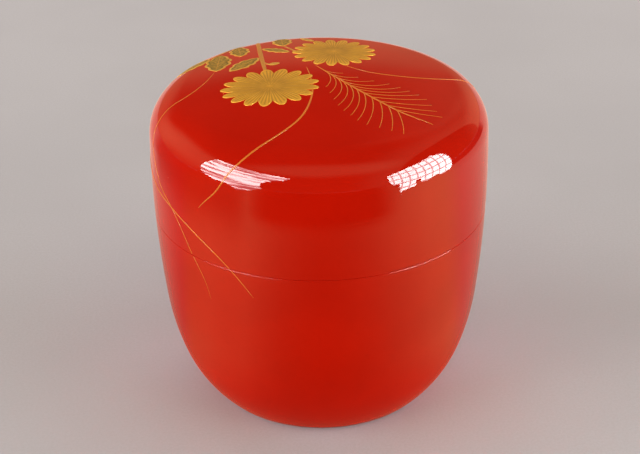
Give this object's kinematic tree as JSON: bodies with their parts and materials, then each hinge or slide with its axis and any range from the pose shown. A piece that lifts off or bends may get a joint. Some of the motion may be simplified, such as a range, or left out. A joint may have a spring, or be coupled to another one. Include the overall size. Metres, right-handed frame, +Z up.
{
  "type": "tea caddy",
  "caption": "Rounded lacquered tea caddy with a lift-off lid over a standing rim, red outside, black inside, with gold chrysanthemums and grasses.",
  "frame": {"origin": "middle of the foot, on the plane that the caddy stands on", "axes": "+Z up along the turning axis; the decoration faces -Y, with the leaf spray towards -X"},
  "size_m": [0.066, 0.066, 0.0661],
  "materials": {
    "turned_wood": "turned, fully coated",
    "red_lacquer": "polished vermilion lacquer",
    "black_lacquer": "polished black lacquer",
    "gold": "fine gold powder, burnished",
    "green_gold": "fine greenish gold powder"
  },
  "bodies": {
    "body": {"body_core": "turned_wood", "body_lacquer_outer": "red_lacquer", "body_lacquer_inner": "black_lacquer", "gold_grass_blades_body": "gold"},
    "lid": {"lid_core": "turned_wood", "lid_lacquer_outer": "red_lacquer", "lid_lacquer_inner": "black_lacquer", "gold_chrysanthemum_front": "gold", "gold_chrysanthemum_back": "gold", "gold_leaf_spray": "green_gold", "gold_grass_plume": "gold", "gold_grass_blades_lid": "gold"}
  },
  "joints": [
    {"name": "lid_lift", "type": "slide", "parent": "body", "child": "lid", "axis": [0, 0, 1], "range_m": [0, 0.08]}
  ]
}
